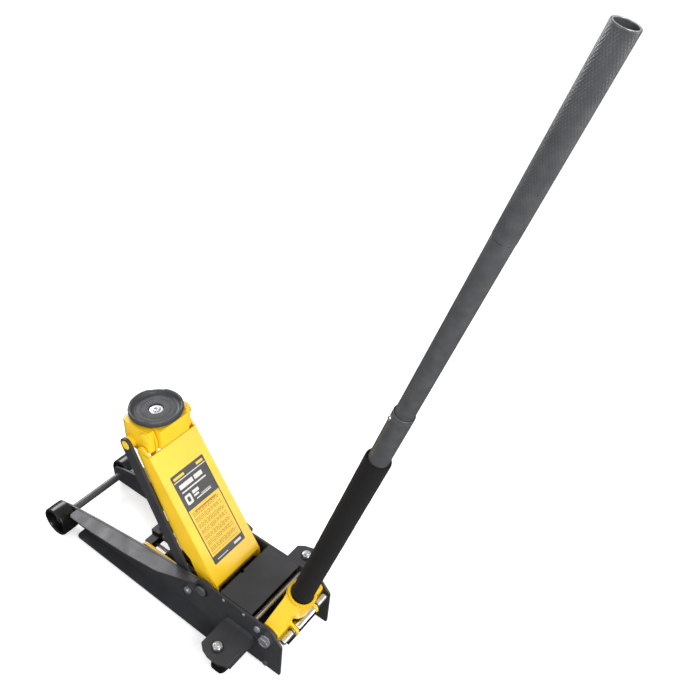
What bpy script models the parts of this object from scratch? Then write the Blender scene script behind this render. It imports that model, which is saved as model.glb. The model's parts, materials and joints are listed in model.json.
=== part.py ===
"""Hydraulic trolley jack: chassis on wheels, lifting arm with levelling links, saddle,
hydraulic unit and a two-part pump handle.

World frame: +Z up, floor at z = 0, +X towards the lifting end, +Y to the left.
The pose modelled is the arm near its highest and the handle at its upper stop.
"""
import math

import bmesh
import bpy
from mathutils import Matrix, Vector

MM = 0.001
GAP = 0.3 * MM

# ---- driving dimensions -------------------------------------------------------------------
# chassis
WEB_OUT = 80 * MM              # outer face of each side plate, from the centre plane
SHEET = 5 * MM                 # side-plate thickness
WEB_IN = WEB_OUT - SHEET
RAIL_X = (38 * MM, 438 * MM)   # stretch of the side plate that carries the turned-out flange
RAIL_TOP = 138.4 * MM          # top of the side plates over the hydraulic unit
RAIL_FALL = 0.1188             # slope of the flange where it starts
RAIL_BEND = 0.1305             # how much steeper it gets, per metre
PLATE_BOTTOM = 12 * MM
FLANGE_SHEET = 4 * MM
AXLE = (472.7 * MM, 36.5 * MM)
AXLE_R = 8.8 * MM
WHEEL_R = 36.5 * MM
WHEEL_Y = (82 * MM, 123.4 * MM)

# casters
SWIVEL = (-64.5 * MM, 141 * MM)
BRACKET_TOP = 80 * MM
CASTER_TRAIL = 12 * MM
CASTER_R = 25 * MM
CASTER_HALF = 12 * MM

# lifting linkage in the x-z plane
ARM_PIVOT = Vector((34 * MM, 0, 112 * MM))
HEAD_PIVOT = Vector((183 * MM, 0, 425 * MM))
LINK_TOP = Vector((223 * MM, 0, 394 * MM))
LINK_FOOT = ARM_PIVOT + LINK_TOP - HEAD_PIVOT
ARM_PLATE_Y = (58 * MM, 63 * MM)
ARM_SPLAY = 3 * MM             # how much wider the arm is at its rear end
LINK_Y = (66.8 * MM, 73.2 * MM)
LINK_HALF = 15 * MM            # half the links' width
EAR_Y = (38 * MM, 43 * MM)     # ears on the arm's front end, inside the head's cheeks
CHEEK_Y = (43.6 * MM, 57 * MM)
CORE_Y = 37.4 * MM             # half the width of the head between the ears
SADDLE_X = 208.3 * MM
SADDLE_Z = (440 * MM, 455.3 * MM)
SADDLE_R = 54.6 * MM
SADDLE_FLOOR = 7.3 * MM        # height of the dish's floor above the saddle's base
SADDLE_SEAT = 2.6 * MM         # height of the screw's seat, so that the screw lies below the floor

# ram
LUG_LENGTH = 62 * MM
LUG_ANGLE = math.radians(-60.5)
RAM_PIN = ARM_PIVOT + LUG_LENGTH * Vector((math.cos(LUG_ANGLE), 0, math.sin(LUG_ANGLE)))
RAM_Z = 57 * MM
CROSSHEAD_X = (230 * MM, 250 * MM)
TRUNNION_X = 240 * MM

# handle and pump
YOKE_PIVOT = Vector((-135 * MM, 0, 100 * MM))
HANDLE_LEAN = math.radians(17.1)
ROLLER_OFFSET = Vector((-31 * MM, 0, 6 * MM))
ROLLER_R = 11 * MM
ROLLER_SHAFT_R = 6.5 * MM
PULL_LINK_Y = (42 * MM, 50 * MM)
SLOT_HALF = 7.6 * MM           # half the length of the slot in a pull link's rear eye
PLUNGER_ANGLE = math.radians(-65)
VALVE_ANGLE = math.radians(-50)
TUBE_R = 17 * MM
FOAM_S = (84 * MM, 545 * MM)
UPPER_S = 575 * MM             # where the upper tube ends, inside the lower one
JOINT_S = 657 * MM
KNURL_S = 974 * MM
HANDLE_S = 1220 * MM
BUTTON_S = 642 * MM
BUTTON_TURN = math.radians(40)

X_AXIS = Vector((1, 0, 0))
Y_AXIS = Vector((0, 1, 0))
Z_AXIS = Vector((0, 0, 1))
HANDLE_UP = Vector((-math.sin(HANDLE_LEAN), 0, math.cos(HANDLE_LEAN)))
HANDLE_FRONT = Vector((math.cos(HANDLE_LEAN), 0, math.sin(HANDLE_LEAN)))
ARM_ALONG = (HEAD_PIVOT - ARM_PIVOT).normalized()
ARM_ABOVE = Vector((-ARM_ALONG.z, 0, ARM_ALONG.x))
PLUNGER_DOWN = Vector((math.cos(PLUNGER_ANGLE), 0, math.sin(PLUNGER_ANGLE)))
VALVE_DOWN = Vector((math.cos(VALVE_ANGLE), 0, math.sin(VALVE_ANGLE)))
ROLLER = YOKE_PIVOT + ROLLER_OFFSET

for old in list(bpy.data.objects):
    bpy.data.objects.remove(old, do_unlink=True)


def collection(name):
    """A collection linked to the scene."""
    made = bpy.data.collections.new(name)
    bpy.context.scene.collection.children.link(made)
    return made


PARTS = collection("trolley_jack")
CUTTERS = collection("cutters")
CUTTERS.hide_render = True


def material(name, color, roughness, metallic=0.0):
    """A plain Principled material."""
    made = bpy.data.materials.new(name)
    made.use_nodes = True
    shader = made.node_tree.nodes["Principled BSDF"]
    shader.inputs["Base Color"].default_value = (*color, 1)
    shader.inputs["Roughness"].default_value = roughness
    shader.inputs["Metallic"].default_value = metallic
    return made


GREY = material("grey_powder_coat", (0.045, 0.047, 0.052), 0.5)
YELLOW = material("yellow_enamel", (0.86, 0.58, 0.02), 0.35)
BLACK = material("black_enamel", (0.012, 0.012, 0.013), 0.3)
STEEL = material("zinc_plated_steel", (0.62, 0.63, 0.65), 0.25, 1.0)
DARK_STEEL = material("dark_steel", (0.1, 0.1, 0.11), 0.35, 1.0)
WHEEL = material("black_wheel", (0.008, 0.008, 0.009), 0.2)
FOAM = material("black_foam", (0.014, 0.014, 0.014), 0.9)
CASTING = material("saddle_casting", (0.06, 0.06, 0.066), 0.6)


# ---- shapes -------------------------------------------------------------------------------
def place(mesh_object):
    """Put a raw shape with the cutters until it becomes a part."""
    CUTTERS.objects.link(mesh_object)
    mesh_object.hide_render = True
    mesh_object.display_type = "WIRE"
    return mesh_object


def from_bmesh(bm, matrix):
    """Object from a bmesh whose vertices are moved into world coordinates."""
    bm.transform(matrix)
    mesh = bpy.data.meshes.new("shape")
    bm.to_mesh(mesh)
    bm.free()
    return place(bpy.data.objects.new("shape", mesh))


def block(x, y, z):
    """Box between the two limits given for each axis."""
    bm = bmesh.new()
    bmesh.ops.create_cube(bm, size=1)
    size = Matrix.Diagonal((x[1] - x[0], y[1] - y[0], z[1] - z[0], 1))
    middle = Matrix.Translation((sum(x) / 2, sum(y) / 2, sum(z) / 2))
    return from_bmesh(bm, middle @ size)


def turned_block(centre, along, across, size):
    """Box with its first side along one direction and its third square to it and Y."""
    third = along.cross(across)
    basis = Matrix((along, across, third)).transposed().to_4x4()
    bm = bmesh.new()
    bmesh.ops.create_cube(bm, size=1)
    return from_bmesh(bm, Matrix.Translation(centre) @ basis @ Matrix.Diagonal((*size, 1)))


def rod(start, end, radius, segments=20):
    """Solid cylinder between two points."""
    along = end - start
    bm = bmesh.new()
    bmesh.ops.create_cone(bm, cap_ends=True, segments=segments, radius1=radius, radius2=radius,
                          depth=along.length)
    turn = along.to_track_quat("Z", "Y").to_matrix().to_4x4()
    return from_bmesh(bm, Matrix.Translation((start + end) / 2) @ turn)


def cross_rod(point, y, radius, segments=20):
    """Solid cylinder along Y through a point of the x-z plane."""
    start = Vector((point[0], y[0], point[-1]))
    end = Vector((point[0], y[1], point[-1]))
    return rod(start, end, radius, segments)


def ball(centre, radius):
    """Solid sphere."""
    bm = bmesh.new()
    bmesh.ops.create_uvsphere(bm, u_segments=14, v_segments=8, radius=radius)
    return from_bmesh(bm, Matrix.Translation(centre))


def turned(profile, base, direction, steps=24):
    """Profile of (radius, height) turned about an axis; it runs down the outer side."""
    mesh = bpy.data.meshes.new("profile")
    points = [(radius, 0, height) for radius, height in profile]
    closed = profile[0][0] > 0
    edges = [(i, i + 1) for i in range(len(points) - 1)]
    if closed:
        edges.append((len(points) - 1, 0))
    mesh.from_pydata(points, edges, [])
    shape = bpy.data.objects.new("turned", mesh)
    place(shape)
    screw = shape.modifiers.new("turn", "SCREW")
    screw.axis = "Z"
    screw.steps = steps
    screw.render_steps = steps
    screw.use_merge_vertices = True
    screw.merge_threshold = 0.00001
    turn = direction.to_track_quat("Z", "Y").to_matrix().to_4x4()
    return frozen(shape, Matrix.Translation(base) @ turn)


def frozen(shape, matrix):
    """Replace a curve or an object with modifiers by its evaluated mesh."""
    bpy.context.view_layer.update()
    graph = bpy.context.evaluated_depsgraph_get()
    mesh = bpy.data.meshes.new_from_object(shape.evaluated_get(graph))
    bm = bmesh.new()
    bm.from_mesh(mesh)
    bmesh.ops.remove_doubles(bm, verts=bm.verts, dist=0.000005)
    bmesh.ops.recalc_face_normals(bm, faces=bm.faces)
    bpy.data.objects.remove(shape, do_unlink=True)
    return from_bmesh(bm, matrix)


def flat_shape(outline, thickness, matrix):
    """Flat 2D outline filled and thickened, then moved by a matrix."""
    curve = bpy.data.curves.new("outline", "CURVE")
    curve.dimensions = "2D"
    curve.fill_mode = "BOTH"
    curve.extrude = thickness / 2
    spline = curve.splines.new("POLY")
    spline.points.add(len(outline) - 1)
    for point, (u, v) in zip(spline.points, outline):
        point.co = (u, v, 0, 1)
    spline.use_cyclic_u = True
    return frozen(place(bpy.data.objects.new("outline", curve)), matrix)


def side_shape(outline, y):
    """Flat shape standing in the x-z plane between two values of y."""
    middle = Matrix.Translation((0, sum(y) / 2, 0))
    stand = Matrix.Rotation(math.pi / 2, 4, "X")
    return flat_shape(outline, abs(y[1] - y[0]), middle @ stand)


def plan_shape(outline, z):
    """Flat shape lying in the x-y plane between two heights."""
    return flat_shape(outline, z[1] - z[0], Matrix.Translation((0, 0, sum(z) / 2)))


def rounded(corners, steps=3):
    """Outline through (u, v, radius) corners, each replaced by a tangent arc."""
    outline = []
    count = len(corners)
    for i, (u, v, radius) in enumerate(corners):
        here = Vector((u, v))
        if radius == 0:
            outline.append((u, v))
            continue
        before = (Vector(corners[i - 1][:2]) - here).normalized()
        after = (Vector(corners[(i + 1) % count][:2]) - here).normalized()
        half = before.angle(after) / 2
        centre = here + (before + after).normalized() * radius / math.sin(half)
        first = here + before * radius / math.tan(half) - centre
        last = here + after * radius / math.tan(half) - centre
        sweep = first.angle_signed(last)
        for k in range(steps + 1):
            turned_by = Matrix.Rotation(-sweep * k / steps, 2)
            outline.append(tuple(centre + turned_by @ first))
    return outline


def capsule(first, radius1, second, radius2, steps=6):
    """Outline around two circles, given as points of the x-z plane."""
    a = Vector((first[0], first[-1]))
    b = Vector((second[0], second[-1]))
    along = (b - a).normalized()
    heading = math.atan2(along.y, along.x)
    lean = math.acos((radius1 - radius2) / (b - a).length)
    outline = []
    for centre, radius, start, sweep in ((b, radius2, -lean, 2 * lean),
                                         (a, radius1, lean, 2 * (math.pi - lean))):
        for k in range(steps + 1):
            angle = heading + start + sweep * k / steps
            outline.append((centre.x + radius * math.cos(angle),
                            centre.y + radius * math.sin(angle)))
    return outline


def combine(target, other, operation):
    """Boolean of two shapes, kept as a modifier."""
    step = target.modifiers.new(operation.lower(), "BOOLEAN")
    step.operation = operation
    step.object = other
    step.solver = "EXACT"
    return target


def joined(*shapes):
    """Union of shapes."""
    for other in shapes[1:]:
        combine(shapes[0], other, "UNION")
    return shapes[0]


def drilled(target, *cutters):
    """Target with the cutters taken away."""
    for cutter in cutters:
        combine(target, cutter, "DIFFERENCE")
    return target


def mirrored(y, side):
    """Limits of y on the left (side 1) or on the right (side -1)."""
    return (y[0], y[1]) if side > 0 else (-y[1], -y[0])


def part(name, shape, surface, holder=None):
    """Turn a finished shape into a named part on its joint."""
    CUTTERS.objects.unlink(shape)
    PARTS.objects.link(shape)
    shape.name = name
    shape.hide_render = False
    shape.display_type = "TEXTURED"
    shape.data.materials.clear()
    shape.data.materials.append(surface)
    shape.data.shade_smooth()
    shape.data.set_sharp_from_angle(angle=math.radians(35))
    if holder is not None:
        shape.parent = holder
        shape.matrix_parent_inverse = holder.matrix_world.inverted()
    return shape


def joint(name, location, holder=None):
    """Empty on a joint's axis."""
    empty = bpy.data.objects.new(name, None)
    PARTS.objects.link(empty)
    empty.empty_display_size = 30 * MM
    empty.location = location
    if holder is not None:
        empty.parent = holder
        empty.matrix_parent_inverse = holder.matrix_world.inverted()
    bpy.context.view_layer.update()
    return empty


# ---- places worked out from the driving dimensions ----------------------------------------
def rail_z(x):
    """Height of the side plate's upper edge along the flange."""
    run = x - RAIL_X[0]
    return RAIL_TOP - RAIL_FALL * run - RAIL_BEND * run * run


def on_arm(along, above, radius=0.0):
    """Point of the arm's side view, in millimetres along and above its pivot line."""
    point = ARM_PIVOT + ARM_ALONG * along * MM + ARM_ABOVE * above * MM
    return (point.x, point.z, radius * MM)


def on_handle(along, front=0.0, side=0.0):
    """Point in the handle's own directions, from the yoke's pivot."""
    return YOKE_PIVOT + HANDLE_UP * along + HANDLE_FRONT * front + Y_AXIS * side


# ---- chassis ------------------------------------------------------------------------------
def side_plate(side):
    """Pressed plate with a turned-out flange along its upper edge and one at its foot."""
    steps = 8
    span = RAIL_X[1] - RAIL_X[0]
    rail_x = [RAIL_X[1] - span * k / steps for k in range(steps + 1)]
    rail = [(x, rail_z(x)) for x in rail_x]
    outline = [(-169 * MM, PLATE_BOTTOM, 3 * MM), (496 * MM, PLATE_BOTTOM, 16 * MM),
               (496 * MM, 54 * MM, 20 * MM), (458 * MM, 66 * MM, 8 * MM)]
    outline += [(x, z, 0) for x, z in rail]
    outline += [(-146 * MM, RAIL_TOP, 20 * MM), (-173.5 * MM, 108 * MM, 10 * MM)]
    web = side_shape(rounded(outline), mirrored((WEB_IN, WEB_OUT), side))

    inset = 0.35 * MM
    strip = [(x, z - inset) for x, z in rail]
    strip += [(x, z - FLANGE_SHEET) for x, z in reversed(rail)]
    flange = side_shape(strip, mirrored((WEB_OUT - 1 * MM, 125 * MM), side))
    plan = rounded([(RAIL_X[0] + 4 * MM, 76 * MM, 0), (RAIL_X[1], 76 * MM, 0),
                    (RAIL_X[1], 105 * MM, 12 * MM), (345 * MM, 113 * MM, 90 * MM),
                    (230 * MM, 116 * MM, 90 * MM), (133 * MM, 113 * MM, 90 * MM),
                    (RAIL_X[0] + 4 * MM, 90 * MM, 6 * MM)])
    plan = [(x, y * side) for x, y in plan]
    combine(flange, plan_shape(plan, (40 * MM, 160 * MM)), "INTERSECT")

    foot = rounded([(-25 * MM, 78 * MM, 0), (421 * MM, 78 * MM, 0),
                    (421 * MM, 106 * MM, 10 * MM), (-25 * MM, 109 * MM, 4 * MM)])
    foot = plan_shape([(x, y * side) for x, y in foot],
                      (PLATE_BOTTOM + inset, PLATE_BOTTOM + FLANGE_SHEET))
    through = mirrored((WEB_IN - 3 * MM, WEB_OUT + 3 * MM), side)
    holes = [cross_rod(ARM_PIVOT, through, 13.3 * MM), cross_rod(LINK_FOOT, through, 6.3 * MM),
             cross_rod(YOKE_PIVOT, through, 9.3 * MM), cross_rod(AXLE, through, 9.1 * MM)]
    return drilled(joined(web, flange, foot), *holes)


def base_plate():
    """Sheet that closes the chassis underneath, between the foot flanges."""
    edge = WEB_IN - GAP
    rear, front = -122 * MM, 222 * MM
    thickness = 2.7 * MM
    corners = rounded([(rear, -edge, 0), (front, -edge, 10 * MM),
                       (front, edge, 10 * MM), (rear, edge, 0)])
    sheet = plan_shape(corners, (PLATE_BOTTOM, PLATE_BOTTOM + thickness))
    drains = [rod(Vector((x, 0, 5 * MM)), Vector((x, 0, 25 * MM)), 9 * MM)
              for x in (10 * MM, 90 * MM, 170 * MM)]
    return drilled(sheet, *drains)


def cover_plate():
    """Sheet cover over the hydraulic unit, with its edges folded down inside the plates."""
    x = (-95.3 * MM, -13.6 * MM)
    top = (136.9 * MM, 139.9 * MM)
    edge = WEB_IN - GAP - 0.2 * MM
    cover = block(x, (-edge, edge), top)
    for side in (-1, 1):
        fold = mirrored((edge - 3 * MM, edge), side)
        cover = joined(cover, block((x[0] + 4 * MM, x[1] - 4 * MM), fold, (122 * MM, 138 * MM)))
    notch = block((x[1] - 4 * MM, x[1] + 2 * MM), (6 * MM, 14 * MM), (130 * MM, 145 * MM))
    return drilled(cover, notch)


def front_wheel(side):
    """Cast wheel, deeply hollowed on its outer face."""
    width = WHEEL_Y[1] - WHEEL_Y[0]
    profile = [(33.5 * MM, width), (WHEEL_R, width - 3 * MM), (WHEEL_R, 3 * MM),
               (33.5 * MM, 0), (9.2 * MM, 0), (9.2 * MM, 26 * MM), (16 * MM, 26 * MM),
               (18 * MM, 15 * MM), (26 * MM, 13 * MM), (28.5 * MM, width)]
    base = Vector((AXLE[0], side * WHEEL_Y[0], AXLE[1]))
    return turned(profile, base, Y_AXIS * side, 28)


def caster_bracket(side):
    """Angle plate welded to the side plate, with a down-turned rear edge."""
    arc = [(-31 * MM, 152 * MM), (-44 * MM, 162 * MM), (-60 * MM, 167 * MM),
           (-78 * MM, 168 * MM), (-93 * MM, 164.5 * MM), (-106 * MM, 157 * MM)]
    outline = [(-106 * MM, WEB_OUT + GAP), (-31 * MM, WEB_OUT + GAP)] + arc
    plate = plan_shape([(x, y * side) for x, y in outline], (BRACKET_TOP - SHEET, BRACKET_TOP))
    lip = block((-106 * MM, -101 * MM), mirrored((WEB_OUT + GAP, 153 * MM), side),
                (62 * MM, BRACKET_TOP - 1 * MM))
    weld = block((-104 * MM, -33 * MM), mirrored((WEB_OUT + GAP, WEB_OUT + 5 * MM), side),
                 (58 * MM, BRACKET_TOP + 4 * MM))
    centre = Vector((SWIVEL[0], side * SWIVEL[1], BRACKET_TOP))
    hole = rod(centre - Z_AXIS * 9 * MM, centre + Z_AXIS * 4 * MM, 6.8 * MM)
    return drilled(joined(plate, lip, weld), hole)


def caster_bolt(side):
    """Kingpin with its nut on top of the bracket and its head under the fork."""
    foot = Vector((SWIVEL[0], side * SWIVEL[1], 0))
    shank = rod(foot + Z_AXIS * 59 * MM, foot + Z_AXIS * 92 * MM, 6.4 * MM, 20)
    head = rod(foot + Z_AXIS * 57 * MM, foot + Z_AXIS * 61.5 * MM, 10 * MM, 6)
    washer = rod(foot + Z_AXIS * 80.3 * MM, foot + Z_AXIS * 82 * MM, 12.5 * MM, 24)
    nut = rod(foot + Z_AXIS * 81.5 * MM, foot + Z_AXIS * 89.5 * MM, 10.5 * MM, 6)
    return joined(shank, head, washer, nut)


def trailing(shape, side):
    """A plain shape turned about a caster's swivel, so that it lies inwards of it."""
    foot = Vector((SWIVEL[0], side * SWIVEL[1], 0))
    turn = Matrix.Rotation(side * math.pi / 2, 4, "Z")
    shape.data.transform(Matrix.Translation(foot) @ turn @ Matrix.Translation(-foot))
    return shape


def caster_fork(side):
    """Swivelling fork: a round top plate with a race and two legs."""
    foot = Vector((SWIVEL[0], side * SWIVEL[1], 0))
    disc = rod(foot + Z_AXIS * 62 * MM, foot + Z_AXIS * 66 * MM, 21 * MM)
    race = rod(foot + Z_AXIS * 65 * MM, foot + Z_AXIS * 74.6 * MM, 17 * MM)
    wheel = (SWIVEL[0] - CASTER_TRAIL, 0, CASTER_R)
    outline = capsule(wheel, 9 * MM, (SWIVEL[0], 0, 54 * MM), 12 * MM)
    fork = joined(disc, race)
    for inner in (13 * MM, -16 * MM):
        y = (side * SWIVEL[1] + inner, side * SWIVEL[1] + inner + 3 * MM)
        fork = joined(fork, trailing(side_shape(outline, y), side))
    axle = trailing(cross_rod(wheel, (foot.y - 20 * MM, foot.y + 20 * MM), 4.3 * MM, 16), side)
    hole = rod(foot + Z_AXIS * 55 * MM, foot + Z_AXIS * 80 * MM, 6.8 * MM, 20)
    return drilled(fork, axle, hole)


def caster_wheel(side):
    """Solid nylon wheel with a shallow step on both faces."""
    half = CASTER_HALF
    profile = [(23 * MM, half), (CASTER_R, half - 2 * MM), (CASTER_R, 2 * MM - half),
               (23 * MM, -half), (20 * MM, -half), (18 * MM, 2 * MM - half),
               (9 * MM, 2 * MM - half), (8 * MM, -half), (4.3 * MM, -half), (4.3 * MM, half),
               (8 * MM, half), (9 * MM, half - 2 * MM), (18 * MM, half - 2 * MM),
               (20 * MM, half)]
    centre = Vector((SWIVEL[0] - CASTER_TRAIL, side * SWIVEL[1], CASTER_R))
    return trailing(turned(profile, centre, Y_AXIS, 20), side)


def caster_axle(side):
    """Riveted caster axle."""
    point = (SWIVEL[0] - CASTER_TRAIL, CASTER_R)
    middle = side * SWIVEL[1]
    pin = trailing(cross_rod(point, (middle - 18 * MM, middle + 18 * MM), 4 * MM, 16), side)
    for end in (-1, 1):
        head = sorted((middle + end * 16.3 * MM, middle + end * 18.5 * MM))
        pin = joined(pin, trailing(cross_rod(point, head, 6.5 * MM, 16), side))
    return pin


# ---- lifting arm and levelling links ------------------------------------------------------
def lift_arm():
    """Folded arm: two splayed side plates, a top plate, the pivot tube and the ram lugs."""
    outline = rounded([on_arm(-4, 33, 10), on_arm(304, -4.5, 3), on_arm(330, -14, 8),
                       on_arm(322, -37, 12), on_arm(90, -36, 20), on_arm(62, -19, 12),
                       on_arm(24, -19, 14), on_arm(-22, -24, 20), on_arm(-24, 24, 16)])
    plates = []
    for side in (-1, 1):
        plate = side_shape(outline, mirrored(ARM_PLATE_Y, side))
        for vertex in plate.data.vertices:
            along = (vertex.co - ARM_PIVOT).dot(ARM_ALONG)
            vertex.co.y += side * ARM_SPLAY * min(1, max(0, 1 - along / (304 * MM)))
        plates.append(plate)
    rear = Vector((on_arm(2, 33.6)[0], 0, on_arm(2, 33.6)[1]))
    front = Vector((on_arm(304, -4)[0], 0, on_arm(304, -4)[1]))
    along = (front - rear).normalized()
    length = (front - rear).length
    rear_half = ARM_PLATE_Y[1] + ARM_SPLAY
    trapezoid = [(0, -rear_half), (length, -ARM_PLATE_Y[1]), (length, ARM_PLATE_Y[1]),
                 (0, rear_half)]
    up = along.cross(Y_AXIS)
    basis = Matrix((along, Y_AXIS, up)).transposed().to_4x4()
    top = flat_shape(trapezoid, SHEET, Matrix.Translation(rear - up * SHEET / 2) @ basis)
    ear = rounded([on_arm(236, 1.5), on_arm(304, -6, 4), on_arm(326, 9, 12), on_arm(360, 13, 13),
                   on_arm(360, -13, 13), on_arm(318, -30, 14), on_arm(236, -32)])
    ears = [side_shape(ear, mirrored(EAR_Y, side)) for side in (-1, 1)]
    hub = cross_rod(ARM_PIVOT, (-66.4 * MM, 66.4 * MM), 22 * MM, 24)
    lugs = [side_shape(capsule(ARM_PIVOT, 20 * MM, RAM_PIN, 11.5 * MM),
                       mirrored((33 * MM, 40 * MM), side)) for side in (-1, 1)]
    holes = [cross_rod(ARM_PIVOT, (-70 * MM, 70 * MM), 13.3 * MM),
             cross_rod(RAM_PIN, (-45 * MM, 45 * MM), 6.3 * MM, 20),
             cross_rod(HEAD_PIVOT, (-70 * MM, 70 * MM), 9.3 * MM)]
    return drilled(joined(top, *plates, *ears, hub, *lugs), *holes)


def saddle_head():
    """Cast head astride the arm's ears, carrying the saddle and the link pins."""
    sweep = [(HEAD_PIVOT.x + 37 * MM * math.cos(math.radians(angle)),
              HEAD_PIVOT.z + 37 * MM * math.sin(math.radians(angle)))
             for angle in range(-80, -181, -10)]
    front = rounded([(HEAD_PIVOT.x - 37 * MM, SADDLE_Z[0] - GAP, 3 * MM),
                     (254 * MM, SADDLE_Z[0] - GAP, 12 * MM), (254 * MM, 402 * MM, 14 * MM),
                     (238 * MM, 379 * MM, 12 * MM), (207 * MM, 379 * MM, 10 * MM),
                     (sweep[0][0], sweep[0][1], 0)])[:-1]
    body = side_shape(front + sweep, (-57 * MM, 57 * MM))
    half = CHEEK_Y[1]
    corners = rounded([(158 * MM, -CORE_Y, 2 * MM), (171 * MM, -CORE_Y, 0),
                       (171 * MM, -half, 6 * MM), (254 * MM, -half, 20 * MM),
                       (254 * MM, half, 20 * MM), (171 * MM, half, 6 * MM),
                       (171 * MM, CORE_Y, 0), (158 * MM, CORE_Y, 2 * MM)])
    combine(body, plan_shape(corners, (360 * MM, 460 * MM)), "INTERSECT")
    slots = [block((150 * MM, 204 * MM), mirrored((CORE_Y, CHEEK_Y[0]), side),
                   (370 * MM, 460 * MM)) for side in (-1, 1)]
    bosses = [cross_rod(LINK_TOP, mirrored((50 * MM, 66.6 * MM), side), 13 * MM)
              for side in (-1, 1)]
    bores = [cross_rod(LINK_TOP, mirrored((44 * MM, 70 * MM), side), 8.3 * MM)
             for side in (-1, 1)]
    centre = Vector((SADDLE_X, 0, 0))
    bolt = rod(centre + Z_AXIS * 402 * MM, centre + Z_AXIS * 445 * MM, 6.3 * MM, 20)
    hollow = block((200 * MM, 230 * MM), (-40 * MM, 40 * MM), (370 * MM, 396 * MM))
    pin = cross_rod(HEAD_PIVOT, (-60 * MM, 60 * MM), 9.3 * MM)
    return drilled(joined(body, *bosses), *slots, *bores, bolt, pin, hollow)


def saddle():
    """Dished cast saddle with four raised lugs on its rim."""
    base, top = SADDLE_Z
    height = top - base
    floor = SADDLE_FLOOR
    profile = [(48.5 * MM, height), (SADDLE_R - 1.5 * MM, height), (SADDLE_R, height - 1.5 * MM),
               (SADDLE_R, 5 * MM), (49 * MM, 0), (6.4 * MM, 0),
               (6.4 * MM, SADDLE_SEAT), (14.6 * MM, SADDLE_SEAT), (14.6 * MM, floor),
               (44.5 * MM, floor), (46.5 * MM, floor + 2 * MM)]
    centre = Vector((SADDLE_X, 0, base))
    dish = turned(profile, centre, Z_AXIS, 36)
    for angle in (45, 135):
        across = Vector((-math.sin(math.radians(angle)), math.cos(math.radians(angle)), 0))
        along = Vector((across.y, -across.x, 0))
        gap = turned_block(centre + Z_AXIS * (height + 2.4 * MM), along, across,
                           (130 * MM, 34 * MM, 10 * MM))
        drilled(dish, gap)
    return dish


def saddle_bolt():
    """Countersunk screw and washer in the middle of the saddle."""
    centre = Vector((SADDLE_X, 0, SADDLE_Z[0] + SADDLE_SEAT))
    washer = rod(centre + Z_AXIS * GAP, centre + Z_AXIS * 2.3 * MM, 14 * MM, 24)
    shank = rod(centre - Z_AXIS * 39 * MM, centre + Z_AXIS * 1 * MM, 6 * MM, 20)
    head = rod(centre + Z_AXIS * 2 * MM, centre + Z_AXIS * 4.5 * MM, 8 * MM, 20)
    socket = rod(centre + Z_AXIS * 2.6 * MM, centre + Z_AXIS * 8 * MM, 3 * MM, 6)
    return drilled(joined(shank, washer, head), socket)


def head_pin():
    """Pin through the arm's ears and the head, with a cap on both ends."""
    pin = cross_rod(HEAD_PIVOT, (-59 * MM, 59 * MM), 9 * MM)
    for side in (-1, 1):
        pin = joined(pin, cross_rod(HEAD_PIVOT, mirrored((57.3 * MM, 60.6 * MM), side), 11 * MM))
    return pin


def link_bar(side):
    """Flat levelling link between the chassis and the head."""
    outline = capsule(LINK_FOOT, LINK_HALF, LINK_TOP, LINK_HALF)
    bar = side_shape(outline, mirrored(LINK_Y, side))
    through = mirrored((60 * MM, 76 * MM), side)
    return drilled(bar, cross_rod(LINK_TOP, through, 8.3 * MM, 20),
                   cross_rod(LINK_FOOT, through, 6.3 * MM, 20))


def link_pin(side):
    """Headed pin that holds the link on the head."""
    shank = cross_rod(LINK_TOP, mirrored((48 * MM, 74 * MM), side), 8 * MM, 24)
    cap = cross_rod(LINK_TOP, mirrored((73.4 * MM, 74.7 * MM), side), 10 * MM, 24)
    return joined(shank, cap)


def link_bolt(side):
    """Bolt through the link and the side plate: inner head, spacer collar and hex nut."""
    shank = cross_rod(LINK_FOOT, mirrored((64 * MM, 86 * MM), side), 6 * MM, 20)
    head = cross_rod(LINK_FOOT, mirrored((63.4 * MM, 66.5 * MM), side), 9.5 * MM, 20)
    collar = cross_rod(LINK_FOOT, mirrored((73.5 * MM, 74.7 * MM), side), 9 * MM, 20)
    nut = cross_rod(LINK_FOOT, mirrored((80.3 * MM, 88 * MM), side), 9.5 * MM, 6)
    return joined(shank, head, collar, nut)


def arm_shaft():
    """Shaft across the side plates that carries the arm."""
    return cross_rod(ARM_PIVOT, (-86.5 * MM, 86.5 * MM), 13 * MM, 24)


def shaft_ring(name, side, y, radius):
    """Ring on the arm's shaft."""
    ring = cross_rod(ARM_PIVOT, mirrored(y, side), radius)
    hole = cross_rod(ARM_PIVOT, mirrored((y[0] - 1 * MM, y[1] + 1 * MM), side), 13.3 * MM, 24)
    return part(name, drilled(ring, hole), DARK_STEEL)


# ---- hydraulic unit -----------------------------------------------------------------------
def on_plunger(distance):
    """Point on the pump plunger's axis, measured from the roller's centre."""
    return ROLLER + PLUNGER_DOWN * distance * MM


def on_valve(distance):
    """Point on the release valve's axis, measured from the yoke's pivot."""
    return YOKE_PIVOT + VALVE_DOWN * distance * MM


def pump_block():
    """Cast block with the inclined pump barrel and the release valve's boss."""
    body = block((-88 * MM, -60 * MM), (-42 * MM, 42 * MM), (16 * MM, 110 * MM))
    foot = block((-142 * MM, -80 * MM), (-17 * MM, 17 * MM), (15 * MM, 38 * MM))
    barrel = rod(on_plunger(50), on_plunger(92), 11 * MM)
    boss = rod(on_valve(41), on_valve(84), 12 * MM)
    bore = rod(on_plunger(45), on_plunger(89), 5.8 * MM, 20)
    seat = rod(on_valve(36), on_valve(58), 5.3 * MM, 20)
    return drilled(joined(body, foot, barrel, boss), bore, seat)


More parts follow.
